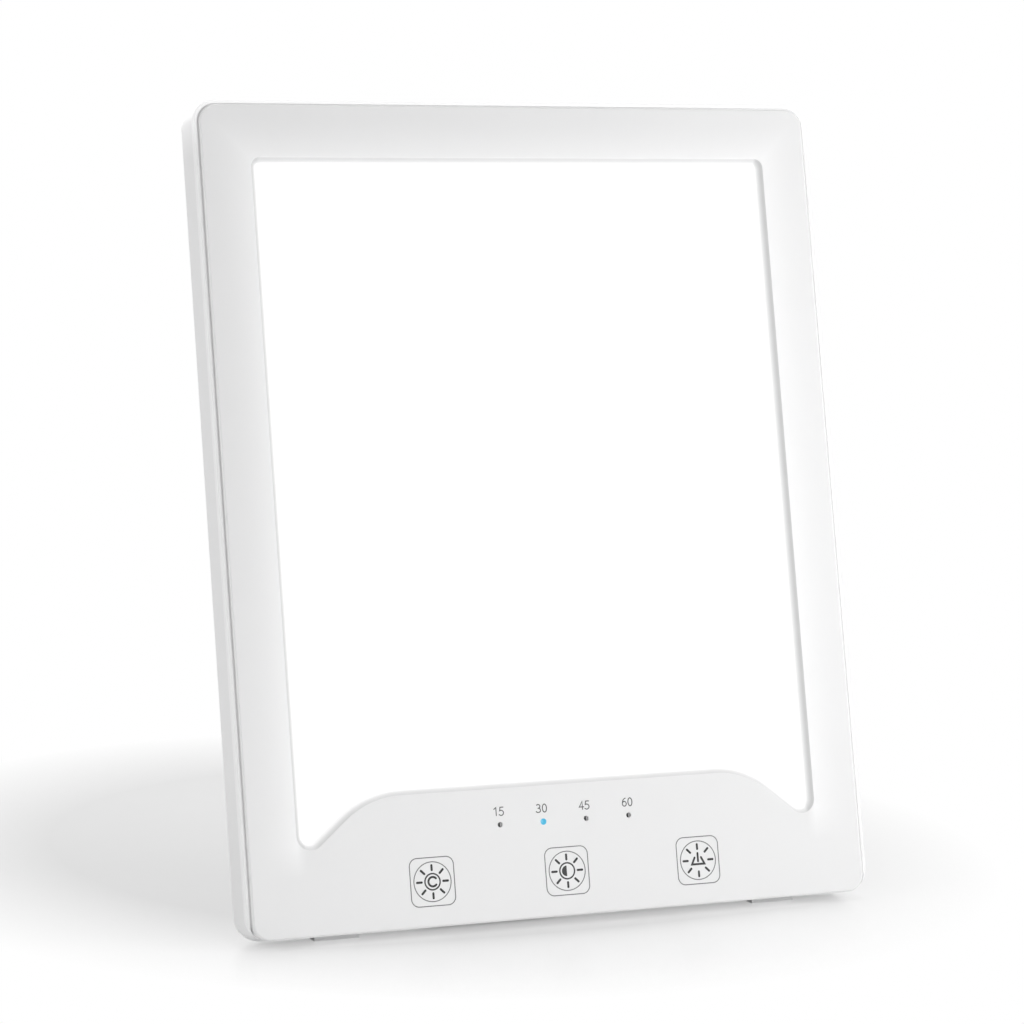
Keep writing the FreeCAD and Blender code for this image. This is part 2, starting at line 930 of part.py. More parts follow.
def make_ring_screws():
    """Screws driven backwards through the ring into the hub."""
    screws = []
    for x, z in ring_screw_places():
        shank = rod(x, z, ring_screw_radius, ring_front, ring_front + ring_screw_length)
        head = rod(x, z, ring_screw_head_radius, ring_front - ring_screw_head, ring_front)
        screws.append(joined([shank, head]))
    return Part.makeCompound(screws)


def make_hinge_pin():
    """The steel pin through both ears and the leg."""
    half = leg_root_width / 2 + ear_gap + ear_width - pin_end_gap
    return axle(-half, half, pivot_depth, pivot_level, pin_radius)


def turned_about_hinge(shape, degrees):
    """Turns a piece about the hinge. The leg is drawn folded, then turned open."""
    return shape.rotated(Vector(0, pivot_depth, pivot_level), Vector(1, 0, 0), degrees)


def tapered_plate(top_width, bottom_width, top, bottom, y0, y1):
    """A plate about X = 0 with level ends and straight sides that spread downwards."""
    half_top = top_width / 2
    half_bottom = bottom_width / 2
    corners = [
        Vector(-half_top, y0, top),
        Vector(-half_bottom, y0, bottom),
        Vector(half_bottom, y0, bottom),
        Vector(half_top, y0, top),
    ]
    return slab(Part.makePolygon(corners + corners[:1]), y1 - y0)


def leg_plate():
    """The leg's plain plate: straight at its root, then wider to its tip."""
    half = leg_root_width / 2
    shoulder = pivot_level - leg_root_straight
    root = box(-half, half, leg_inner, leg_outer, shoulder, pivot_level)
    foot = pivot_level - leg_length
    blade = tapered_plate(leg_root_width, leg_tip_width, shoulder, foot, leg_inner, leg_outer)
    return joined([root, blade])


def finger_hole():
    """The rounded slot near the tip that a finger pulls the leg out by."""
    z = pivot_level - leg_length + finger_hole_from_tip
    reach = (finger_hole_width - finger_hole_height) / 2
    radius = finger_hole_height / 2
    y0 = leg_inner - cut_past
    y1 = leg_outer + cut_past
    return joined(
        [
            box(-reach, reach, y0, y1, z - radius, z + radius),
            rod(-reach, z, radius, y0, y1),
            rod(reach, z, radius, y0, y1),
        ]
    )


def sunk_panel():
    """The shallow panel cut into the leg's outer face."""
    border = 2 * leg_panel_border
    top = pivot_level - leg_panel_head
    bottom = pivot_level - leg_length + finger_hole_from_tip + finger_hole_height
    floor = leg_outer - leg_panel_depth
    face = leg_outer + cut_past
    return tapered_plate(leg_root_width - border, leg_tip_width - border, top, bottom, floor, face)


def turntable_under_leg(gap):
    """The space that the leg's root keeps clear of: the turntable and a gap above it."""
    reach = 2 * leg_cam_radius
    low = pivot_level - reach
    high = pivot_level + reach
    return box(-leg_root_width, leg_root_width, turntable_face - reach, turntable_face + gap, low, high)


def make_stand_leg():
    """The leg with its cam-shaped root. Two flats on the root face the turntable, one
    when the leg is folded and one when it is open, where it stops the leg."""
    half = leg_root_width / 2
    cam = axle(-half, half, pivot_depth, pivot_level, leg_cam_radius)
    when_folded = turntable_under_leg(leg_cam_fold_gap)
    when_open = turned_about_hinge(turntable_under_leg(leg_stop_gap), -leg_open_deg)
    pin_hole = axle(-half, half, pivot_depth, pivot_level, pin_radius + leg_pin_fit)
    cuts = [when_folded, when_open, sunk_panel(), pin_hole, finger_hole()]
    leg = joined([leg_plate(), cam]).cut(cuts)
    return turned_about_hinge(leg, leg_open_deg)


def make_leg_tip():
    """The rubber sleeve with a round end that the leg stands on."""
    half = leg_tip_width / 2 + tip_side_wall
    foot = pivot_level - leg_length
    front = leg_middle - tip_radius
    back = leg_middle + tip_radius
    block = box(-half, half, front, back, foot, foot + tip_sleeve)
    sleeve = joined([block, axle(-half, half, leg_middle, foot, tip_radius)])
    return turned_about_hinge(sleeve.cut(leg_plate()), leg_open_deg)


# ---- The lamp -----------------------------------------------------------------------

nodes = {
    "front_bezel": make_front_bezel(),
    "rear_cover": make_rear_cover(),
    "diffuser_panel": slab(window_outline(sheet_overlap, bezel_plate), diffuser_thickness),
    "prism_film": slab(window_outline(sheet_overlap, film_front), film_thickness),
    "light_guide": slab(window_outline(guide_overlap, guide_front), guide_thickness),
    "reflector_sheet": slab(window_outline(guide_overlap, reflector_front), reflector_thickness),
    "back_plate": make_back_plate(),
    "led_board_left": make_led_board(-1),
    "led_board_right": make_led_board(1),
    "led_chips_left": make_led_chips(-1),
    "led_chips_right": make_led_chips(1),
    "plate_screws": make_small_screws(plate_screw_places, plate_rear),
    "control_board": make_control_board(),
    "board_screws": make_small_screws(board_screw_places, board_rear),
    "touch_electrodes": make_touch_electrodes(),
    "indicator_leds": make_indicator_leds(),
    "control_chips": make_chips(),
    "driver_coil": make_coil(),
    "driver_capacitors": make_capacitors(),
    "lead_sockets": make_lead_sockets(),
    "led_lead_left": make_led_lead(-1),
    "led_lead_right": make_led_lead(1),
    "power_jack": make_power_jack(),
    "jack_pin": make_jack_pin(),
    "jack_spring": make_jack_spring(),
    "case_screws": make_case_screws(),
    "rubber_feet": make_rubber_feet(),
    "turntable": make_turntable(),
    "slip_washer": make_slip_washer(),
    "retaining_ring": make_retaining_ring(),
    "ring_screws": make_ring_screws(),
    "hinge_pin": make_hinge_pin(),
    "stand_leg": make_stand_leg(),
    "leg_tip": make_leg_tip(),
}
for minutes, place in zip(timer_minutes, timer_places):
    nodes["light_pipe_%d" % minutes] = make_light_pipe(place)

os.makedirs("parts", exist_ok=True)
for name, shape in nodes.items():
    placed = shape.copy()
    placed.Placement = standing.multiply(shape.Placement)
    placed.exportStep("parts/" + name + ".step")
    print(name, len(placed.Solids), round(placed.Volume, 2), placed.isValid())
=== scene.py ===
import json
import logging
import math
from abc import ABC, abstractmethod
from dataclasses import dataclass
from enum import Enum
from typing import Any, ClassVar, Dict, List, Sequence, Tuple, Union

import bmesh
import bpy
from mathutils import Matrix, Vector

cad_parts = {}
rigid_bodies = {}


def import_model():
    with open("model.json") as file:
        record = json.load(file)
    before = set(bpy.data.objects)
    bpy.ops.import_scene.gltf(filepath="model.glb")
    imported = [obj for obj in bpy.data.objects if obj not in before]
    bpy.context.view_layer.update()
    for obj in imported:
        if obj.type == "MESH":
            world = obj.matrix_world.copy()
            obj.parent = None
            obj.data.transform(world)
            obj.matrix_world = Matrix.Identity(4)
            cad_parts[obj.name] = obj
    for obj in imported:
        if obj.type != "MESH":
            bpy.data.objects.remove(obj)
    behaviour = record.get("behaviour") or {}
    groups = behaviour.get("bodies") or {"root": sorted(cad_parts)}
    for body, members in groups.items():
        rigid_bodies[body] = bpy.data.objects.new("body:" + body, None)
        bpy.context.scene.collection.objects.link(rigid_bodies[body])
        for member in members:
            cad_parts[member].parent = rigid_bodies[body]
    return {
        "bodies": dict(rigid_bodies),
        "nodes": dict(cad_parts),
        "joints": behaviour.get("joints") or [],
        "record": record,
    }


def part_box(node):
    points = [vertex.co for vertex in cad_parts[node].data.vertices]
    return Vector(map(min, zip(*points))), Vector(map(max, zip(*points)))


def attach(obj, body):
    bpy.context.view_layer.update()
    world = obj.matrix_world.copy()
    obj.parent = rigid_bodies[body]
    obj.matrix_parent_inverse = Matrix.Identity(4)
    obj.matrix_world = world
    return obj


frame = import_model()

# Looks for a light therapy lamp: a white tablet-shaped light panel with printed touch
# keys and timer lights, which leans on a fold-out leg.

LOG = logging.getLogger("lamp")
MM = 0.001
Colour = Tuple[float, float, float]
Point = Tuple[float, float]
Place = Tuple[float, float, float]
Span = Tuple[float, float]
DARKNESS = (0.0, 0.0, 0.0)
PURE_WHITE = (1.0, 1.0, 1.0)


class Body(Enum):
    """The record's bodies that new pieces ride on."""

    PANEL = "panel"


class Slot(Enum):
    """The record's material slots."""

    BLACK = "black_plastic"


# ---- The panel's own frame ----


@dataclass(frozen=True)
class PanelFrame:
    """Places points given in the panel's own directions, in millimetres.

    Attributes:
        corner: the middle of the bezel's lower front edge, in metres.
        back: the direction through the panel's depth, away from the viewer.
        up: the direction from the bezel's lower edge to its upper one.
    """

    corner: Vector
    back: Vector
    up: Vector

    @classmethod
    def of(cls, scene_frame: Dict[str, Any]) -> "PanelFrame":
        """Reads the frame off the swivel's axis and the bezel's mesh.

        Args:
        Returns:
            The panel's frame.
        """
        swivel = next(j for j in scene_frame["joints"] if j["name"] == "stand_swivel")
        back = Vector(swivel["axis"]).normalized()
        up = Vector((1.0, 0.0, 0.0)).cross(back)
        points = [v.co for v in scene_frame["nodes"]["front_bezel"].data.vertices]
        face = min(p.dot(back) for p in points)
        edge = min(p.dot(up) for p in points)
        return cls(back * face + up * edge, back, up)

    def place(self, x: float, depth: float, z: float) -> Vector:
        """Turns millimetres to the right, behind the face and up into a point in metres."""
        across = Vector((x * MM, 0.0, 0.0))
        return self.corner + across + self.back * (depth * MM) + self.up * (z * MM)


# ---- Shader nodes ----


class Signal:
    """A number that flows between shader nodes, with ordinary arithmetic."""

    def __init__(self, graph: "Graph", socket: Any) -> None:
        """Keeps the graph and the output socket that the number comes from."""
        self.graph = graph
        self.socket = socket

    def _with(self, operation: str, first: "Number", second: "Number") -> "Signal":
        """Joins two numbers by one operation and returns the result."""
        settings = {"operation": operation}
        return self.graph.signal("ShaderNodeMath", settings, {0: first, 1: second})

    def __add__(self, other: "Number") -> "Signal":
        """Adds another number."""
        return self._with("ADD", self, other)

    def __radd__(self, other: "Number") -> "Signal":
        """Adds to another number."""
        return self._with("ADD", other, self)

    def __sub__(self, other: "Number") -> "Signal":
        """Takes another number away."""
        return self._with("SUBTRACT", self, other)

    def __rsub__(self, other: "Number") -> "Signal":
        """Takes this number from another."""
        return self._with("SUBTRACT", other, self)

    def __mul__(self, other: "Number") -> "Signal":
        """Multiplies by another number."""
        return self._with("MULTIPLY", self, other)

    def __rmul__(self, other: "Number") -> "Signal":
        """Multiplies another number."""
        return self._with("MULTIPLY", other, self)

    def __truediv__(self, other: "Number") -> "Signal":
        """Divides by another number."""
        return self._with("DIVIDE", self, other)

    def __rtruediv__(self, other: "Number") -> "Signal":
        """Divides another number."""
        return self._with("DIVIDE", other, self)

    def __pow__(self, other: "Number") -> "Signal":
        """Raises to a power."""
        return self._with("POWER", self, other)

    def highest(self, other: "Number") -> "Signal":
        """Returns the larger of this number and another."""
        return self._with("MAXIMUM", self, other)

    def lowest(self, other: "Number") -> "Signal":
        """Returns the smaller of this number and another."""
        return self._with("MINIMUM", self, other)

    def size(self) -> "Signal":
        """Returns the number without its sign."""
        return self._with("ABSOLUTE", self, 0.0)

    def spread(self, low: float, high: float) -> "Signal":
        """Returns the number, spread from between 0 and 1 over a range."""
        return low + self * (high - low)

    def within_one(self) -> "Signal":
        """Returns the number, kept between 0 and 1."""
        return self.highest(0.0).lowest(1.0)


Number = Union[Signal, float]


class Graph:
    """The node tree of one material or of the world."""

    def __init__(self, owner: Any) -> None:
        """Empties the owner's node tree.

        Args:
            owner: a material or a world.
        """
        owner.use_nodes = True
        self.tree = owner.node_tree
        self.tree.nodes.clear()

    def node(self, kind: str, settings: Dict[str, Any], inputs: Dict[Any, Any]) -> Any:
        """Adds a node.

        Args:
            kind: the node's type.
            settings: its properties by name.
            inputs: constants, signals or sockets by the input's name or number.
        Returns:
            The node.
        """
        made = self.tree.nodes.new(kind)
        for name, value in settings.items():
            setattr(made, name, value)
        for name, value in inputs.items():
            target = made.inputs[name]
            if isinstance(value, Signal):
                self.tree.links.new(value.socket, target)
            elif isinstance(value, bpy.types.NodeSocket):
                self.tree.links.new(value, target)
            else:
                target.default_value = value
        return made

    def signal(self, kind: str, settings: Dict[str, Any], inputs: Dict[Any, Any]) -> Signal:
        """Adds a node as node does and returns its first output as a signal."""
        return Signal(self, self.node(kind, settings, inputs).outputs[0])

    def place(self) -> Any:
        """Returns the socket with the position on the object, in metres."""
        return self.node("ShaderNodeTexCoord", {}, {}).outputs["Object"]

    def offset(self, point: Any) -> Any:
        """Returns the socket with the offset from a point, in metres."""
        return self.vector("SUBTRACT", self.place(), point).outputs[0]

    def vector(self, operation: str, first: Any, second: Any) -> Any:
        """Adds one operation on two vectors or their sockets and returns its node."""
        return self.node("ShaderNodeVectorMath", {"operation": operation}, {0: first, 1: second})

    def reach(self, offset: Any, way: Vector) -> Signal:
        """Measures an offset in metres along a direction, in millimetres."""
        return Signal(self, self.vector("DOT_PRODUCT", offset, way / MM).outputs["Value"])

    def turned(self, way: Vector) -> Signal:
        """Returns 1 where the surface faces along a direction, -1 where against it."""
        normal = self.node("ShaderNodeNewGeometry", {}, {}).outputs["Normal"]
        return Signal(self, self.vector("DOT_PRODUCT", normal, way).outputs["Value"])

    def length(self, offset: Any) -> Signal:
        """Measures an offset, in its own unit."""
        return Signal(self, self.vector("LENGTH", offset, (0.0, 0.0, 0.0)).outputs["Value"])

    def noise(self, scale: float, detail: float) -> Signal:
        """Adds noise from 0 to 1, with clouds per metre and a number of finer layers."""
        inputs = {"Vector": self.place(), "Scale": scale, "Detail": detail}
        return self.signal("ShaderNodeTexNoise", {}, inputs)

    def shades(self, share: Number, first: Colour, second: Colour) -> Any:
        """Mixes two colours, 0 for the first, and returns the socket."""
        inputs = {0: share, 6: (*first, 1.0), 7: (*second, 1.0)}
        return self.node("ShaderNodeMix", {"data_type": "RGBA"}, inputs).outputs[2]

    def surface(
        self, shade: Any, grains: Signal, gloss: Span, relief: float, more: Dict[str, Any]
    ) -> Any:
        """Adds a principled surface.

        Args:
            shade: the socket of its colour.
            grains: what its gloss and its relief follow.
            gloss: its roughness range.
            relief: the relief's depth in metres.
            more: its other inputs.
        Returns:
            The socket of the shader.
        """
        bumps = self.node(
            "ShaderNodeBump", {}, {"Strength": 1.0, "Distance": relief, "Height": grains}
        )
        inputs = {"Base Color": shade, "Roughness": grains.spread(*gloss), **more}
        inputs["Normal"] = bumps.outputs["Normal"]
        return self.node("ShaderNodeBsdfPrincipled", {}, inputs).outputs[0]

    def glow(self, colour: Colour) -> Any:
        """Adds a shader that gives plain light of a colour and returns its socket."""
        inputs = {"Color": (*colour, 1.0), "Strength": 1.0}
        return self.node("ShaderNodeEmission", {}, inputs).outputs[0]

    def backdrop(self, strength: float) -> Any:
        """Adds a white background of some strength and returns its socket."""
        inputs = {"Color": (*PURE_WHITE, 1.0), "Strength": strength}
        return self.node("ShaderNodeBackground", {}, inputs).outputs[0]

    def blend(self, share: Signal, first: Any, second: Any) -> Any:
        """Mixes two shaders, 0 for the first, and returns the socket."""
        return self.node("ShaderNodeMixShader", {}, {0: share, 1: first, 2: second}).outputs[0]

    def close(self, shader: Any) -> None:
        """Joins a shader to the output.

        Args:
            shader: the shader's socket.
        """
        kind = "ShaderNodeOutputMaterial"
        if isinstance(self.tree.id_data, bpy.types.World):
            kind = "ShaderNodeOutputWorld"
        self.node(kind, {}, {"Surface": shader})


# ---- Finishes ----


class Look(ABC):
    """A finish that builds its own material.

    Attributes:
        name: the material's name.
    """

    name: str

    def material(self) -> Any:
        """Builds the material.

        Returns:
            The material.
        """
        made = bpy.data.materials.new(self.name)
        graph = Graph(made)
        graph.close(self.draw(graph))
        return made

    @abstractmethod
    def draw(self, graph: Graph) -> Any:
        """Draws the material's nodes.

        Args:
            graph: the material's empty graph.
        Returns:
            The socket of its shader.
        """


@dataclass(frozen=True)
class Finish(Look):
    """A finish with two shades, uneven gloss, fine relief and perhaps its own light.

    Attributes:
        name: the material's name.
        first: its first shade.
        second: its second shade.
        patch: shade patches per metre.
        gloss: the roughness range.
        grain: relief grains per metre.
        relief: the relief's depth in metres.
        coat: how much clear gloss lies on top.
        glow: the two shades of its own light, or nothing.
        strength: how bright that light is, where 1 is white.
        detail: how many finer layers the patches and the grains have.
        metal: 1 for bare metal.
    """

    name: str
    first: Colour
    second: Colour
    patch: float = 60.0
    gloss: Span = (0.35, 0.45)
    grain: float = 2500.0
    relief: float = 0.00001
    coat: float = 0.0
    glow: Tuple[Colour, ...] = ()
    strength: float = 1.0
    detail: Span = (3.0, 2.0)
    metal: float = 0.0

    def patterns(self, graph: Graph) -> Tuple[Signal, Signal]:
        """Returns what the shade follows and what the gloss and the relief follow."""
        return graph.noise(self.patch, self.detail[0]), graph.noise(self.grain, self.detail[1])

    def draw(self, graph: Graph) -> Any:
        """Draws the patterns in the shade, the gloss and the relief.

        Args:
            graph: the material's graph.
        Returns:
            The socket of its shader.
        """
        patches, grains = self.patterns(graph)
        shade = graph.shades(patches, self.first, self.second)
        more: Dict[str, Any] = {"Coat Weight": self.coat, "Metallic": self.metal}
        if self.glow:
            more["Emission Color"] = graph.shades(patches, *self.glow)
            more["Emission Strength"] = self.strength
        return graph.surface(shade, grains, self.gloss, self.relief, more)


@dataclass(frozen=True)
class BrushedMetal(Finish):
    """Metal with fine lines along the panel's width.

    Attributes:
        stretch: how many times longer than wide the lines are.
    """

    gloss: Span = (0.25, 0.42)
    grain: float = 3000.0
    relief: float = 0.000004
    metal: float = 1.0
    stretch: float = 60.0

    def patterns(self, graph: Graph) -> Tuple[Signal, Signal]:
        """Lets the shade, the gloss and the relief follow the same lines.

        Args:
            graph: the material's graph.
        Returns:
            The lines, twice.
        """
        scale = (self.grain / self.stretch, self.grain, self.grain)
        drawn = graph.vector("MULTIPLY", graph.place(), scale).outputs[0]
        inputs = {"Vector": drawn, "Scale": 1.0, "Detail": self.detail[1]}
        lines = graph.signal("ShaderNodeTexNoise", {}, inputs)
        return lines, lines


@dataclass(frozen=True)
class CircuitBoard(Finish):
    """A board with faint copper tracks under its solder mask, in the first shade.

    Attributes:
        cell: the tracks' meshes per metre.
        thin: how thin the tracks are.
    """

    gloss: Span = (0.25, 0.4)
    relief: float = 0.00002
    coat: float = 0.3
    cell: float = 260.0
    thin: float = 14.0

    def patterns(self, graph: Graph) -> Tuple[Signal, Signal]:
        """Lets the shade, the gloss and the relief follow the tracks.

        Args:
            graph: the material's graph.
        Returns:
            The signal that is 0 on a track and 1 beside it, twice.
        """
        settings = {"feature": "DISTANCE_TO_EDGE", "distance": "EUCLIDEAN"}
        inputs = {"Vector": graph.place(), "Scale": self.cell}
        edges = graph.signal("ShaderNodeTexVoronoi", settings, inputs)
        board = (edges * self.thin).lowest(1.0)
        return board, board


@dataclass(frozen=True)
class PipeEndWithPaintedLight(Finish):
    """The end of a light pipe with its light off, dark inside, with painted light on its right-hand
    side.

    Attributes:
        middle: the pipe's middle along the panel's width, in millimetres.
        start: how far right of the middle the painted light starts.
        blur: the width of the change from dark to the painted light.
    """

    first: Colour = (0.012, 0.012, 0.013)
    # the pale painted light on the pipe's right-hand side, and its painted glow
    second: Colour = (0.66, 0.66, 0.665)
    gloss: Span = (0.2, 0.35)
    grain: float = 1500.0
    glow: Tuple[Colour, ...] = (DARKNESS, (0.29, 0.29, 0.295))
    middle: float = 0.0
    start: float = 0.42
    blur: float = 0.2

    def patterns(self, graph: Graph) -> Tuple[Signal, Signal]:
        """Lets the shade and the glow follow the painted light on the right-hand side."""
        past = graph.reach(graph.place(), Vector((1.0, 0.0, 0.0))) - (self.middle + self.start)
        return (past / self.blur).within_one(), graph.noise(self.grain, self.detail[1])


@dataclass(frozen=True)
class Spot:
    """The point that is being shaded, in the panel's own directions.

    Attributes:
        x: millimetres to the right of the middle.
        depth: millimetres behind the bezel's face.
        z: millimetres above the bezel's lower edge.
        tilt: 0 where the surface faces the viewer and 1 where it faces sideways.
    """

    x: Signal
    depth: Signal
    z: Signal
    tilt: Signal

    @classmethod
    def of(cls, graph: Graph, panel: PanelFrame) -> "Spot":
        """Measures the point.

        Args:
            graph: the material's graph.
            panel: the panel's frame.
        Returns:
            The point.
        """
        offset = graph.offset(panel.corner)
        x = graph.reach(offset, Vector((1.0, 0.0, 0.0)))
        depth = graph.reach(offset, panel.back)
        z = graph.reach(offset, panel.up)
        return cls(x, depth, z, graph.turned(panel.back) + 1.0)


@dataclass(frozen=True)
class WindowPaintedLight:
    """Painted light and painted shade round the lit window: painted glow on its sides and on the face
    round it, a painted highlight on its rounded edge and painted shade on its steep sides.

    Attributes:
        half: half of the window's width in millimetres, as are all lengths here.
        top: the height of the window's top.
        plate: the shell's thickness at the window.
        cut_off: how sharply the glow ends behind the plate, per millimetre.
        foot: the height below which nothing glows.
        foot_fade: how far above it the face's light grows.
        control_half: half of the control area's width without its slopes.
        control_top: the control area's height.
        lip: the width of the edge round the window.
        painted_shade_top_share: the share of painted shade on the window's other sides, where the
            full painted shade is 1.
        edge_tilt: the tilt at which the rounded edge starts.
        side_tilt: the tilt at which it ends.
        inner_reach: how far inside the window its edge's looks begin.
        painted_wall_glow: how bright the painted glow on the window's sides is next to the diffuser.
        wall_power: how fast that painted glow falls off towards the face.
        painted_face_glow: how bright the painted glow on the face is at the window's edge.
        face_reach: how far that painted glow bleeds into the face.
        face_power: how fast it falls off.
        painted_edge_highlight: how bright the painted highlight on the rounded edge is.
    """

    half: float = 85.0
    top: float = 232.7
    plate: float = 2.0
    cut_off: float = 3.0
    foot: float = 17.0
    foot_fade: float = 10.0
    control_half: float = 40.0
    control_top: float = 37.0
    lip: float = 4.0
    painted_shade_top_share: float = 0.35
    edge_tilt: float = 0.04
    side_tilt: float = 0.2
    inner_reach: float = 3.0
    painted_wall_glow: float = 0.55
    wall_power: float = 2.0
    painted_face_glow: float = 0.1
    face_reach: float = 13.0
    face_power: float = 1.6
    painted_edge_highlight: float = 0.06

    def front(self, spot: Spot) -> Signal:
        """Returns 1 on the plate and 0 behind it."""
        return (1.0 + (self.plate - spot.depth) * self.cut_off).within_one()

    def shade(self, spot: Spot) -> Signal:
        """Measures how far painted shade darkens the window's steep sides.

        Args:
            spot: the point.
        Returns:
            0 for the shell's colour, 1 for the full painted shade.
        """
        at_side = (spot.x.size() - self.half + self.inner_reach).within_one()
        steep = (spot.tilt / self.side_tilt).within_one()
        return steep * self._lip(spot) * at_side.spread(self.painted_shade_top_share, 1.0)

    def light(self, spot: Spot) -> Signal:
        """Adds up the painted glow on the sides and on the face and the painted highlight on the
        rounded edge.

        Args:
            spot: the point.
        Returns:
            The painted light.
        """
        # painted glow on the window's sides and on the face round it, as if light bled from the
        # diffuser
        beyond = self._beyond(spot)
        inside = (1.0 - beyond).within_one() * self.front(spot)
        past_control = (spot.x.size() - self.control_half).highest(spot.z - self.control_top)
        deep = (spot.depth / self.plate).within_one() ** self.wall_power
        painted_wall_share = deep * inside * past_control.within_one()
        near = (1.0 - beyond / self.face_reach).within_one() ** self.face_power
        above_foot = ((spot.z - self.foot) / self.foot_fade).within_one()
        beside_window = (beyond / self.inner_reach + 1.0).within_one() * above_foot
        face = near * beside_window * (1.0 - spot.depth * 2.0).within_one()
        # a painted highlight on the window's rounded edge
        starts = (spot.tilt / self.edge_tilt).within_one()
        ends = ((self.side_tilt - spot.tilt) / (self.side_tilt / 2.0)).within_one()
        rounded = starts * ends * self._lip(spot)
        return painted_wall_share * self.painted_wall_glow + face * self.painted_face_glow + rounded * self.painted_edge_highlight

    def _beyond(self, spot: Spot) -> Signal:
        """Measures how far outside the window a point lies."""
        return (spot.x.size() - self.half).highest(spot.z - self.top)

    def _lip(self, spot: Spot) -> Signal:
        """Returns 1 on the edge round the window and 0 elsewhere."""
        near = (self.lip - self._beyond(spot)).within_one()
        return near * (spot.z - self.foot).within_one() * self.front(spot)


@dataclass(frozen=True)
class RimPaintedLight:
    """Painted light on the rim round the face and in the seam between them.

    Attributes:
        straight_half: half of the width between the face's corner arcs, in millimetres.
        straight_top: the height at which its upper corner arcs start.
        corner: the radius of those arcs.
        seam: the distance from the face's edge to the seam's middle.
        seam_half: half of the seam's width.
        painted_seam_light: how bright the painted light in the seam is at its right-hand side.
        seam_top: the share of that painted light along the top.
        reach: the distance from the face's edge at which the rim's painted light starts.
        edge: how wide that start is.
        front: how far back the rim's front reaches.
        painted_rim_front_light: how bright the painted light on the rim's front is.
        painted_rim_top_light: how much brighter the painted light makes the rim along the top.
        top_start: the height at which that light starts.
        top_reach: how far above that it is full.
        top_power: how slowly it grows.
    """

    straight_half: float = 94.5
    straight_top: float = 243.2
    corner: float = 5.5
    seam: float = 0.25
    seam_half: float = 0.5
    painted_seam_light: float = 0.2
    seam_top: float = 0.5
    reach: float = 0.45
    edge: float = 0.25
    front: float = 3.0
    painted_rim_front_light: float = 0.07
    painted_rim_top_light: float = 0.18
    top_start: float = 232.7
    top_reach: float = 14.0
    top_power: float = 1.4

    def light(self, spot: Spot) -> Signal:
        """Adds up the painted light on the rim and in the seam.

        Args:
            spot: the point.
        Returns:
            The painted light.
        """
        aside = (spot.x.size() - self.straight_half).highest(0.0)
        above = (spot.z - self.straight_top).highest(0.0)
        past_face = (aside * aside + above * above) ** 0.5 - self.corner
        # painted light on the rim, stronger along the top, and painted light that fills the seam's
        # shade
        high = ((spot.z - self.top_start) / self.top_reach).within_one() ** self.top_power
        glow = high * self.painted_rim_top_light + (self.front - spot.depth).within_one() * self.painted_rim_front_light
        rim = ((past_face - self.reach) / self.edge).within_one() * glow
        seam = (1.0 - (past_face - self.seam).size() / self.seam_half).within_one()
        along_top = (above / self.corner).within_one() ** 4.0
        at_right = spot.x / (self.straight_half + self.corner)
        seam_place = (along_top * self.seam_top).highest(at_right).within_one()
        return rim + seam * seam_place * self.painted_seam_light


@dataclass(frozen=True)
class PaintedLightShell(Look):
    """A white shell with painted light round its window, on its rim and at one timer light, and
    painted shade on the window's steep sides.

    Attributes:
        name: the material's name.
        shell: the shell's plain finish.
        panel: the panel's frame.
        timer: a point on the axis of the lit timer light, in metres.
        timer_painted_light: the colour of the painted light on the shell round it.
        timer_radius: its radius in millimetres.
        timer_blur: the width of its soft edge.
        window: the painted light and shade round the window.
        rim: the painted light on the rim and in the seam.
        painted_side_shade: the painted shade colour of the window's steep sides.
        patchiness: how far the shell's patches go towards that colour.
    """

    name: str
    shell: Finish
    panel: PanelFrame
    timer: Vector
    timer_painted_light: Colour
    timer_radius: float = 0.98
    timer_blur: float = 0.1
    window: WindowPaintedLight = WindowPaintedLight()
    rim: RimPaintedLight = RimPaintedLight()
    painted_side_shade: Colour = (0.6, 0.6, 0.602)
    patchiness: float = 0.06

    def draw(self, graph: Graph) -> Any:
        """Draws the shell, its painted light and shade, and a painted disc of the lit timer light's
        cyan light on the shell.

        Args:
            graph: the material's graph.
        Returns:
            The socket of its shader.
        """
        spot = Spot.of(graph, self.panel)
        patches = graph.noise(self.shell.patch, 3.0)
        grains = graph.noise(self.shell.grain, 2.0)
        # patches of uneven tone, plus painted shade on the window's steep sides
        patches_and_painted_shade = (patches * self.patchiness + self.window.shade(spot)).within_one()
        # painted light round the window and on the rim, given off by the shell
        light = (self.window.light(spot) + self.rim.light(spot)).within_one()
        shade = graph.shades(patches_and_painted_shade, self.shell.first, self.painted_side_shade)
        more = {"Emission Color": graph.shades(light, DARKNESS, PURE_WHITE), "Emission Strength": 1.0}
        surface = graph.surface(shade, grains, self.shell.gloss, self.shell.relief, more)
        # painted cyan light from the lit timer light on the shell round its pipe
        way = self.panel.back / MM
        across = graph.vector("CROSS_PRODUCT", graph.offset(self.timer), way).outputs[0]
        distance = graph.length(across)
        disc = ((self.timer_radius - distance) / self.timer_blur + 0.5).within_one()
        return graph.blend(disc * self.window.front(spot), surface, graph.glow(self.timer_painted_light))


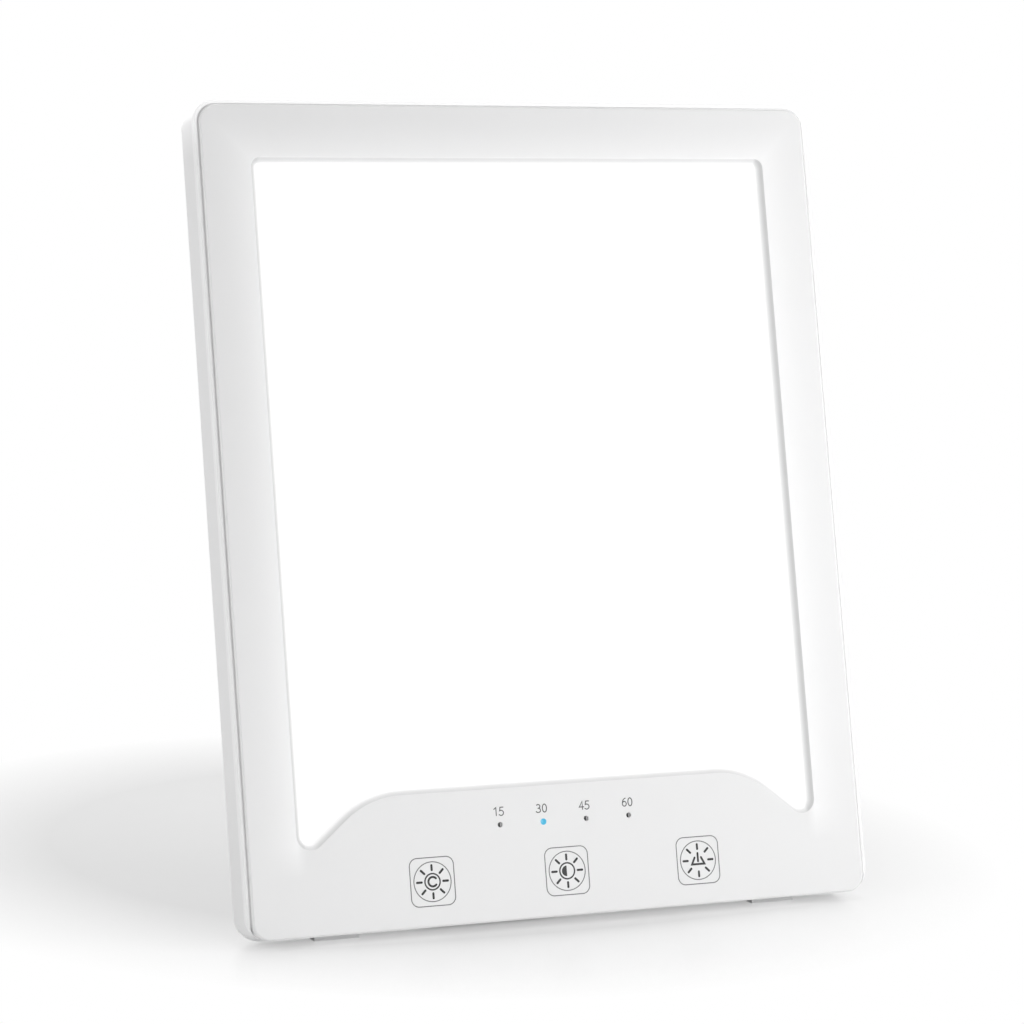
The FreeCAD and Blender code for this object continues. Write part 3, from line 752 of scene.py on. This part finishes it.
WHITE_SHELL = Finish(
    "white_shell", (0.8, 0.8, 0.802), (0.787, 0.788, 0.791), 14.0, (0.3, 0.38), 2600.0, 0.000004
)
OPAL = Finish(
    "lit_opal",
    (0.9, 0.9, 0.9),
    (0.9, 0.9, 0.9),
    25.0,
    (0.45, 0.6),
    1200.0,
    0.000005,
    glow=(PURE_WHITE, (0.97, 0.985, 1.0)),
    strength=0.3,
    detail=(2.0, 1.0),
)
CYAN_GLOW = (0.112, 0.51, 0.75)
CYAN_PIPE = Finish(
    "cyan_pipe",
    (0.02, 0.05, 0.07),
    (0.016, 0.04, 0.056),
    1500.0,
    (0.1, 0.3),
    1500.0,
    coat=0.3,
    glow=(CYAN_GLOW, (0.0952, 0.4335, 0.6375)),
    detail=(2.0, 2.0),
)
CLEAR_SHEET = Finish("clear_sheet", (0.8, 0.84, 0.86), (0.72, 0.78, 0.82), 40.0, (0.05, 0.12))
WHITE_FILM = Finish("white_film", (0.9, 0.9, 0.9), (0.84, 0.84, 0.85), 80.0, (0.5, 0.65))
SHEET_METAL = BrushedMetal("sheet_metal", (0.75, 0.76, 0.78), (0.55, 0.56, 0.58))
STEEL = BrushedMetal("plated_steel", (0.7, 0.69, 0.67), (0.45, 0.45, 0.45), gloss=(0.2, 0.38))
BRASS = BrushedMetal("plated_brass", (0.85, 0.68, 0.34), (0.6, 0.45, 0.2))
WHITE_BOARD = CircuitBoard("white_board", (0.74, 0.75, 0.72), (0.82, 0.82, 0.8))
GREEN_BOARD = CircuitBoard("green_board", (0.04, 0.27, 0.1), (0.02, 0.16, 0.06))
PHOSPHOR = Finish("led_phosphor", (0.85, 0.72, 0.2), (0.75, 0.58, 0.12), 900.0, (0.3, 0.5))
BLACK = Finish("black_plastic", (0.02, 0.02, 0.022), (0.032, 0.032, 0.034), 400.0, (0.3, 0.5))
FOAM = Finish(
    "foam_fabric", (0.05, 0.05, 0.055), (0.02, 0.02, 0.02), 1800.0, (0.7, 0.9), 1800.0, 0.0001
)
RUBBER = Finish(
    "grey_rubber", (0.9, 0.9, 0.905), (0.85, 0.85, 0.855), 300.0, (0.65, 0.85), 1800.0, 0.00004
)
NYLON = Finish("natural_nylon", (0.8, 0.78, 0.7), (0.72, 0.7, 0.62), 200.0, (0.4, 0.55))
RED_WIRE = Finish("red_insulation", (0.42, 0.02, 0.015), (0.33, 0.012, 0.01), 500.0, (0.3, 0.45))
BLACK_INK = Finish("black_ink", (0.012, 0.012, 0.013), (0.03, 0.03, 0.03), 3000.0, (0.45, 0.6))
GREY_INK = Finish("grey_ink", (0.07, 0.07, 0.073), (0.11, 0.11, 0.112), 3000.0, (0.45, 0.6))
PALE_INK = Finish("pale_ink", (0.13, 0.13, 0.133), (0.18, 0.18, 0.182), 3000.0, (0.45, 0.6))


class Dresser:
    """Gives CAD nodes their finishes and keeps each material once."""

    def __init__(self, nodes: Dict[str, Any]) -> None:
        """Keeps the CAD nodes by name."""
        self.nodes = nodes
        self.made: Dict[str, Any] = {}

    def material(self, finish: Look) -> Any:
        """Returns the finish's material, built the first time.

        Args:
            finish: the finish.
        Returns:
            The material.
        """
        if finish.name not in self.made:
            self.made[finish.name] = finish.material()
        return self.made[finish.name]

    def dress(self, finish: Look, *names: str) -> None:
        """Puts a finish on CAD nodes.

        Args:
            finish: the finish.
            names: the nodes.
        """
        for name in names:
            node = self.nodes[name]
            if not node.material_slots:
                node.data.materials.append(None)
            for slot in node.material_slots:
                slot.link = "OBJECT"
                slot.material = self.material(finish)
            LOG.info("dressed %s in %s", name, finish.name)


def add_object(name: str, data: Any) -> Any:
    """Adds an object to the scene.

    Args:
        name: its name.
        data: its mesh, light or camera.
    Returns:
        The object.
    """
    made = bpy.data.objects.new(name, data)
    bpy.context.scene.collection.objects.link(made)
    return made


# ---- Printed marks ----


class PrintedSheet:
    """A set of flat printed strokes on the bezel's face, made into one thin mesh."""

    def __init__(self, panel: PanelFrame, thickness: float) -> None:
        """Starts an empty sheet.

        Args:
            panel: the panel's frame.
            thickness: the ink's thickness in millimetres.
        """
        self.panel = panel
        self.thickness = thickness
        self.mesh = bmesh.new()

    def patch(self, outline: Sequence[Point]) -> None:
        """Adds a filled shape with upright sides.

        Args:
            outline: its corners in order, in millimetres.
        """
        top = [self.mesh.verts.new(self.panel.place(x, -self.thickness, z)) for x, z in outline]
        low = [self.mesh.verts.new(self.panel.place(x, 0.0, z)) for x, z in outline]
        self.mesh.faces.new(top)
        for i, vertex in enumerate(top):
            after = (i + 1) % len(top)
            self.mesh.faces.new((vertex, low[i], low[after], top[after]))

    def stroke(self, path: Sequence[Point], width: float, closed: bool = False) -> None:
        """Adds a line of even width with round ends.

        Args:
            path: its points in order.
            width: its width.
            closed: whether the last point joins the first.
        """
        count = len(path)
        sides: List[Tuple[Point, Point]] = []
        for i, (x, z) in enumerate(path):
            before = path[(i - 1) % count] if closed or i > 0 else path[i]
            after = path[(i + 1) % count] if closed or i < count - 1 else path[i]
            sides.append(self._across((x, z), before, after, width / 2))
        for i in range(count if closed else count - 1):
            (left, right), (next_left, next_right) = sides[i], sides[(i + 1) % count]
            self.patch([left, next_left, next_right, right])
        if not closed:
            self.dot(path[0], width / 2)
            self.dot(path[-1], width / 2)

    def _across(self, at: Point, before: Point, after: Point, half: float) -> Tuple[Point, Point]:
        """Finds the line's two edges beside one of its points.

        Args:
            at: the point.
            before: the point before it.
            after: the point after it.
            half: half of the line's width.
        Returns:
            The point to the left and the one to the right.
        """
        first = Vector((at[0] - before[0], at[1] - before[1]))
        second = Vector((after[0] - at[0], after[1] - at[1]))
        if first.length == 0.0:
            first = second
        if second.length == 0.0:
            second = first
        normal = (first.normalized() + second.normalized()).normalized()
        reach = half / max(0.5, normal.dot(first.normalized()))
        side = Vector((-normal.y, normal.x)) * reach
        return (at[0] + side.x, at[1] + side.y), (at[0] - side.x, at[1] - side.y)

    def dot(self, at: Point, radius: float) -> None:
        """Adds a filled circle round a point."""
        self.patch(curve(at, radius, radius, 0.0, 360.0, 16)[:-1])

    def ring(self, at: Point, radius: float, width: float) -> None:
        """Adds a circle drawn with a line of some width."""
        self.stroke(curve(at, radius, radius, 0.0, 360.0, 64)[:-1], width, True)

    def finish(self, name: str, material: Any) -> None:
        """Turns the sheet into a piece that rides on the panel.

        Args:
            name: the piece's name.
            material: its material.
        """
        data = bpy.data.meshes.new(name)
        bmesh.ops.recalc_face_normals(self.mesh, faces=self.mesh.faces)
        self.mesh.to_mesh(data)
        self.mesh.free()
        data.materials.append(material)
        piece = add_object(name, data)
        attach(piece, Body.PANEL.value)
        LOG.info("printed %s", name)


def curve(at: Point, across: float, high: float, start: float, end: float, steps: int) -> List[Point]:
    """Returns points along part of an ellipse.

    Args:
        at: its middle.
        across: its half width.
        high: its half height.
        start: the first angle in degrees, from the right and upwards.
        end: the last angle.
        steps: how many pieces.
    Returns:
        The points.
    """
    points = []
    for i in range(steps + 1):
        angle = math.radians(start + (end - start) * i / steps)
        points.append((at[0] + across * math.cos(angle), at[1] + high * math.sin(angle)))
    return points


class Sign(Enum):
    """What the middle of a key shows."""

    COLOUR = "colour"
    BRIGHTNESS = "brightness"
    POWER = "power"


@dataclass(frozen=True)
class KeyMark:
    """The printed sign of one touch key, in millimetres.

    Attributes:
        x: the key's middle, to the right of the panel's.
        z: the key's middle, above the bezel's lower edge.
        sign: what its middle shows.
        width: the outline's width.
        height: the outline's height.
        corner: the outline's corner radius.
        line: the thin lines' width.
        dial: the radius of the large circle.
        hub: the radius of the small circle.
        ray_start: where each ray starts, from the middle.
        ray_end: where each ray ends.
        ray_line: the rays' width.
        hub_line: the small circle's line width.
        sign_line: the width of the sign's own lines.
        letter: the radius of the open ring that stands for colour.
        letter_open: half of its opening, in degrees.
        letter_shift: how far right of the key's middle it stands.
        half_disc: the radius of the half disc that stands for brightness.
        disc_shift: how far left of the key's middle its straight side stands.
        stem: the upper and the lower end of the power sign's upright line.
        cup: the corners of the power sign's open cup, from the key's middle.
    """

    x: float
    z: float
    sign: Sign
    width: float = 14.0
    height: float = 14.4
    corner: float = 2.4
    line: float = 0.29
    dial: float = 5.9
    hub: float = 2.4
    ray_start: float = 3.45
    ray_end: float = 4.9
    ray_line: float = 0.68
    hub_line: float = 0.46
    sign_line: float = 0.64
    letter: float = 1.4
    letter_open: float = 42.0
    letter_shift: float = 0.1
    half_disc: float = 1.6
    disc_shift: float = 0.12
    stem: Tuple[float, float] = (2.2, -0.3)
    cup: Tuple[Point, ...] = ((-1.1, 0.86), (-2.1, -1.18), (2.1, -1.18), (1.05, 0.88))

    def frame_outline(self) -> List[Point]:
        """Draws the rounded outline.

        Returns:
            Its points.
        """
        right = self.width / 2 - self.corner
        top = self.height / 2 - self.corner
        points: List[Point] = []
        corners = ((right, top), (-right, top), (-right, -top), (right, -top))
        for i, corner in enumerate(corners):
            points += curve(self.at(*corner), self.corner, self.corner, 90 * i, 90 * i + 90, 8)
        return points

    def rays(self) -> List[List[Point]]:
        """Draws the eight rays.

        Returns:
            Each ray's two ends.
        """
        lines = []
        for i in range(8):
            angle = math.radians(45 * i)
            way = (math.cos(angle), math.sin(angle))
            ends = (self.ray_start, self.ray_end)
            lines.append([self.at(way[0] * r, way[1] * r) for r in ends])
        return lines

    def at(self, x: float, z: float) -> Point:
        """Returns a point given from the key's middle."""
        return (self.x + x, self.z + z)

    def draw(self, pale: PrintedSheet, black: PrintedSheet) -> None:
        """Draws the key.

        Args:
            pale: the sheet for the outline and the large circle.
            black: the sheet for the rays and the sign.
        """
        pale.stroke(self.frame_outline(), self.line, True)
        pale.ring(self.at(0, 0), self.dial, self.line)
        for ray in self.rays():
            black.stroke(ray, self.ray_line)
        if self.sign is Sign.POWER:
            black.stroke([self.at(0, z) for z in self.stem], self.sign_line)
            black.stroke([self.at(*p) for p in self.cup], self.sign_line)
            return
        black.ring(self.at(0, 0), self.hub, self.hub_line)
        if self.sign is Sign.COLOUR:
            middle, ends = self.at(self.letter_shift, 0), (self.letter_open, 360 - self.letter_open)
            black.stroke(curve(middle, self.letter, self.letter, *ends, 32), self.sign_line)
        else:
            middle = self.at(-self.disc_shift, 0)
            black.patch(curve(middle, self.half_disc, self.half_disc, 90, 270, 24))


@dataclass(frozen=True)
class Digits:
    """Thin upright digits made of lines and arcs, in shares of their width and height.

    Attributes:
        width: one digit's width in millimetres.
        height: a digit's height.
        gap: the space between digits.
        line: the lines' width.
        FORMS: each digit's lines.
    """

    width: float = 1.45
    height: float = 2.4
    gap: float = 0.45
    line: float = 0.31
    FORMS: ClassVar[Dict[str, List[List[Point]]]] = {
        "0": [curve((0.5, 0.5), 0.46, 0.5, 0, 360, 32)],
        "1": [[(0.12, 0.8), (0.58, 1.0), (0.58, 0.0)]],
        "3": [
            curve((0.4, 0.765), 0.42, 0.235, 140, -90, 16)
            + curve((0.38, 0.265), 0.52, 0.265, 90, -150, 20)
        ],
        "4": [[(0.98, 0.3), (0.0, 0.3), (0.7, 1.0), (0.7, 0.0)]],
        "5": [[(0.86, 1.0), (0.2, 1.0)] + curve((0.36, 0.3), 0.54, 0.32, 122, -140, 20)],
        "6": [curve((0.5, 0.3), 0.44, 0.3, 0, 360, 24), curve((0.86, 0.3), 0.8, 0.7, 95, 180, 12)],
    }

    def draw(self, sheet: PrintedSheet, text: str, middle: float, foot: float) -> None:
        """Draws a number.

        Args:
            sheet: the sheet to draw on.
            text: the digits.
            middle: the number's middle, to the right of the panel's.
            foot: the digits' lower end.
        """
        step = self.width + self.gap
        start = middle - (step * len(text) - self.gap) / 2
        for i, digit in enumerate(text):
            for form in self.FORMS[digit]:
                path = [(start + step * i + x * self.width, foot + z * self.height) for x, z in form]
                sheet.stroke(path, self.line)


# ---- Sub-assemblies ----


@dataclass(frozen=True)
class ControlFace:
    """The printed keys and numbers of the control area, in millimetres.

    Attributes:
        panel: the panel's frame.
        dresser: gives materials.
        keys: each key's middle, to the right of the panel's, and its sign.
        key_row: the height of the keys' middles.
        numbers: each number and its middle.
        number_foot: the height of their lower ends.
        digits: the digits' shapes.
        ink: the ink's thickness.
    """

    panel: PanelFrame
    dresser: Dresser
    keys: Tuple[Tuple[float, Sign], ...] = (
        (-43.5, Sign.COLOUR),
        (0.0, Sign.BRIGHTNESS),
        (43.6, Sign.POWER),
    )
    key_row: float = 13.5
    numbers: Tuple[Tuple[str, float], ...] = (("15", -20.8), ("30", -6.85), ("45", 7.2), ("60", 21.4))
    number_foot: float = 31.65
    digits: Digits = Digits()
    ink: float = 0.02

    def build(self) -> None:
        """Prints the keys and the numbers."""
        pale, black, grey = (PrintedSheet(self.panel, self.ink) for _ in range(3))
        for middle, sign in self.keys:
            KeyMark(middle, self.key_row, sign).draw(pale, black)
        for text, middle in self.numbers:
            self.digits.draw(grey, text, middle, self.number_foot)
        pale.finish("key_outlines", self.dresser.material(PALE_INK))
        black.finish("key_signs", self.dresser.material(BLACK_INK))
        grey.finish("timer_numbers", self.dresser.material(GREY_INK))


class DressedPart:
    """A sub-assembly whose CAD nodes take finishes.

    Attributes:
        finishes: each finish with the nodes that wear it.
    """

    finishes: ClassVar[Tuple[Tuple[Any, ...], ...]] = ()

    def build(self, dresser: Dresser) -> None:
        """Dresses the nodes."""
        for finish, *names in self.finishes:
            dresser.dress(finish, *names)


@dataclass(frozen=True)
class Casing(DressedPart):
    """The bezel, the rear cover, its screws and its feet.

    Attributes:
        panel: the panel's frame.
    """

    panel: PanelFrame
    finishes = ((STEEL, "case_screws"), (RUBBER, "rubber_feet"))

    def build(self, dresser: Dresser) -> None:
        """Dresses the casing, with painted light and painted shade on the shell.

        Args:
            dresser: gives materials.
        """
        super().build(dresser)
        low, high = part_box("light_pipe_30")
        timer = (Vector(low) + Vector(high)) / 2
        # the shell's material, with painted light and painted shade
        lit = PaintedLightShell("shell_painted_light", WHITE_SHELL, self.panel, timer, CYAN_GLOW)
        dresser.dress(lit, "front_bezel", "rear_cover")


class LightStack(DressedPart):
    """The diffuser and the sheets, boards and LEDs behind it."""

    finishes = (
        (OPAL, "diffuser_panel"),
        (WHITE_FILM, "prism_film", "reflector_sheet"),
        (CLEAR_SHEET, "light_guide"),
        (SHEET_METAL, "back_plate"),
        (STEEL, "plate_screws"),
        (WHITE_BOARD, "led_board_left", "led_board_right"),
        (PHOSPHOR, "led_chips_left", "led_chips_right"),
        (RED_WIRE, "led_lead_left", "led_lead_right"),
    )


class Electronics(DressedPart):
    """The control board with its parts, the timer lights and the power socket."""

    finishes = (
        (GREEN_BOARD, "control_board"),
        (STEEL, "board_screws"),
        (FOAM, "touch_electrodes"),
        (PHOSPHOR, "indicator_leds"),
        (BLACK, "control_chips", "driver_coil", "power_jack"),
        (SHEET_METAL, "driver_capacitors"),
        (NYLON, "lead_sockets"),
        (BRASS, "jack_pin", "jack_spring"),
        (CYAN_PIPE, "light_pipe_30"),
    )

    def build(self, dresser: Dresser) -> None:
        """Dresses the electronics, with the lights that are off, whose pipe ends have painted light
        on their right-hand side.

        Args:
            dresser: gives materials.
        """
        super().build(dresser)
        for name in ("light_pipe_15", "light_pipe_45", "light_pipe_60"):
            low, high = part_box(name)
            middle = (low[0] + high[0]) / 2 / MM
            # pipe ends with painted light on their right-hand side
            dresser.dress(PipeEndWithPaintedLight("pipe_end_painted_light_" + name, middle=middle), name)


class Stand(DressedPart):
    """The turntable and the fold-out leg."""

    finishes = (
        (WHITE_SHELL, "turntable", "stand_leg"),
        (NYLON, "slip_washer"),
        (STEEL, "retaining_ring", "ring_screws", "hinge_pin"),
        (RUBBER, "leg_tip"),
    )


# ---- Studio ----


@dataclass(frozen=True)
class SoftBox:
    """A square studio lamp.

    Attributes:
        name: the lamp's name.
        place: where it hangs, in metres.
        target: what it points at.
        size: its side.
        power: its power in watts.
    """

    name: str
    place: Place
    target: Place
    size: float
    power: float

    def build(self) -> None:
        """Hangs the lamp."""
        data = bpy.data.lights.new(self.name, "AREA")
        data.shape = "SQUARE"
        data.size = self.size
        data.energy = self.power
        lamp = add_object(self.name, data)
        lamp.location = self.place
        way = Vector(self.target) - Vector(self.place)
        lamp.rotation_mode = "QUATERNION"
        lamp.rotation_quaternion = way.to_track_quat("-Z", "Y")


HALF_HEIGHT = (0.0, 0.0, 0.12)
LOWER_PART = (0.0, 0.0, 0.08)


@dataclass(frozen=True)
class Studio:
    """A white floor and background, soft lamps and the camera.

    Attributes:
        panel: the panel's frame.
        ambient: the light from all round.
        camera_place: where the camera stands, in metres from the panel's corner.
        camera_way: where it looks.
        lens: its focal length in millimetres.
        floor_half: half of the floor's side.
        floor_shades: the floor's two shades.
        floor_patch: their patches per metre.
        floor_gloss: the floor's roughness range.
        shade_middle: the middle of the part of the floor that takes the shadow, in metres.
        shade_squeeze: how much shorter than wide distances count from front to back.
        fade_start: how far from there the floor starts to turn into the white background.
        fade_end: how far from there it has turned into it.
        painted_edge_light: how far painted light whitens the floor under the panel's front edge.
        edge_back: how far behind the front edge that strip starts, in millimetres.
        edge_fade: how far it takes to get there.
        edge_front: how far in front of the edge it ends.
        lamps: the studio lamps.
    """

    panel: PanelFrame
    ambient: float = 0.28
    camera_place: Place = (-0.3920, -0.9263, 0.2179)
    camera_way: Place = (0.3718, 0.9235, -0.09446)
    lens: float = 118.9
    floor_half: float = 4.0
    floor_shades: Tuple[Colour, Colour] = ((0.95, 0.95, 0.95), (0.93, 0.93, 0.93))
    floor_patch: float = 20.0
    floor_gloss: Span = (0.2, 0.26)
    shade_middle: Place = (0.0, 0.11, 0.0)
    shade_squeeze: float = 0.8
    fade_start: float = 0.118
    fade_end: float = 0.19
    painted_edge_light: float = 0.4
    edge_back: float = 15.0
    edge_fade: float = 6.0
    edge_front: float = 8.0
    lamps: Tuple[SoftBox, ...] = (
        SoftBox("right_lamp", (0.62, -0.47, 0.27), HALF_HEIGHT, 0.4, 2.95),
        SoftBox("left_lamp", (-1.0, -0.2, 0.3), HALF_HEIGHT, 0.5, 3.02),
        SoftBox("top_lamp", (0.0, 0.15, 0.95), HALF_HEIGHT, 0.5, 1.4),
        SoftBox("back_lamp", (0.0, 0.9, 0.7), HALF_HEIGHT, 0.8, 1.5),
        SoftBox("high_lamp", (0.15, -0.35, 1.0), HALF_HEIGHT, 0.5, 0.78),
        SoftBox("low_lamp", (0.15, -0.7, 0.14), LOWER_PART, 0.25, 0.68),
    )

    def build(self) -> None:
        """Builds the studio."""
        self._world()
        self._floor()
        for lamp in self.lamps:
            lamp.build()
        self._camera()
        bpy.context.scene.view_settings.view_transform = "Standard"
        LOG.info("studio ready")

    def _seen_directly(self, graph: Graph) -> Signal:
        """Tells whether the camera sees a surface, reflected and through glass included.

        Args:
            graph: the graph that asks.
        Returns:
            1 where it does and 0 where the surface only lights others.
        """
        path = graph.node("ShaderNodeLightPath", {}, {})
        camera = Signal(graph, path.outputs["Is Camera Ray"])
        glossy = Signal(graph, path.outputs["Is Glossy Ray"])
        through = Signal(graph, path.outputs["Is Transmission Ray"])
        return camera.highest(glossy).highest(through)

    def _world(self) -> None:
        """Lights all round evenly, with white behind."""
        world = bpy.data.worlds.new("studio")
        bpy.context.scene.world = world
        graph = Graph(world)
        lighting, behind = graph.backdrop(self.ambient), graph.backdrop(1.0)
        graph.close(graph.blend(self._seen_directly(graph), lighting, behind))

    def _floor(self) -> None:
        """Lays a pale floor that takes the shadow, turns white further out and has a strip of painted
        light under the panel's front edge.
        """
        half = self.floor_half
        data = bpy.data.meshes.new("floor")
        corners = [(-half, -half, 0.0), (half, -half, 0.0), (half, half, 0.0), (-half, half, 0.0)]
        data.from_pydata(corners, [], [(0, 1, 2, 3)])
        floor = add_object("floor", data)
        material = bpy.data.materials.new("studio_floor")
        data.materials.append(material)
        graph = Graph(material)
        squeeze = (1.0, self.shade_squeeze, 1.0)
        away = graph.vector("MULTIPLY", graph.offset(self.shade_middle), squeeze).outputs[0]
        distance = graph.length(away)
        fade = ((distance - self.fade_start) / (self.fade_end - self.fade_start)).within_one()
        # a strip of painted light on the floor under the panel's front edge, where its shadow falls
        ahead = graph.reach(graph.offset(self.panel.corner), Vector((0.0, -1.0, 0.0)))
        behind = ((ahead + self.edge_back) / self.edge_fade).within_one()
        painted_edge_strip = behind * (1.0 - ahead / self.edge_front).within_one()
        patches = graph.noise(self.floor_patch, 2.0)
        shade = graph.shades(patches, *self.floor_shades)
        inputs = {"Base Color": shade, "Roughness": patches.spread(*self.floor_gloss)}
        surface = graph.node("ShaderNodeBsdfPrincipled", {}, inputs).outputs[0]
        share = self._seen_directly(graph) * fade.highest(painted_edge_strip * self.painted_edge_light)
        graph.close(graph.blend(share, surface, graph.glow(PURE_WHITE)))

    def _camera(self) -> None:
        """Sets the camera up."""
        data = bpy.data.cameras.new("camera")
        data.lens = self.lens
        data.sensor_width = 36.0
        data.clip_start = 0.05
        data.clip_end = 50.0
        camera = add_object("camera", data)
        camera.location = self.panel.corner + Vector(self.camera_place)
        camera.rotation_mode = "QUATERNION"
        camera.rotation_quaternion = Vector(self.camera_way).to_track_quat("-Z", "Y")
        bpy.context.scene.camera = camera


def main() -> None:
    """Dresses the lamp and sets up the studio."""
    logging.basicConfig(level=logging.INFO, format="%(name)s: %(message)s")
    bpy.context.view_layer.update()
    dresser = Dresser(frame["nodes"])
    panel = PanelFrame.of(frame)
    for part in (Casing(panel), LightStack(), Electronics(), Stand()):
        part.build(dresser)
    ControlFace(panel, dresser).build()
    Studio(panel).build()


if __name__ == "__main__":
    main()
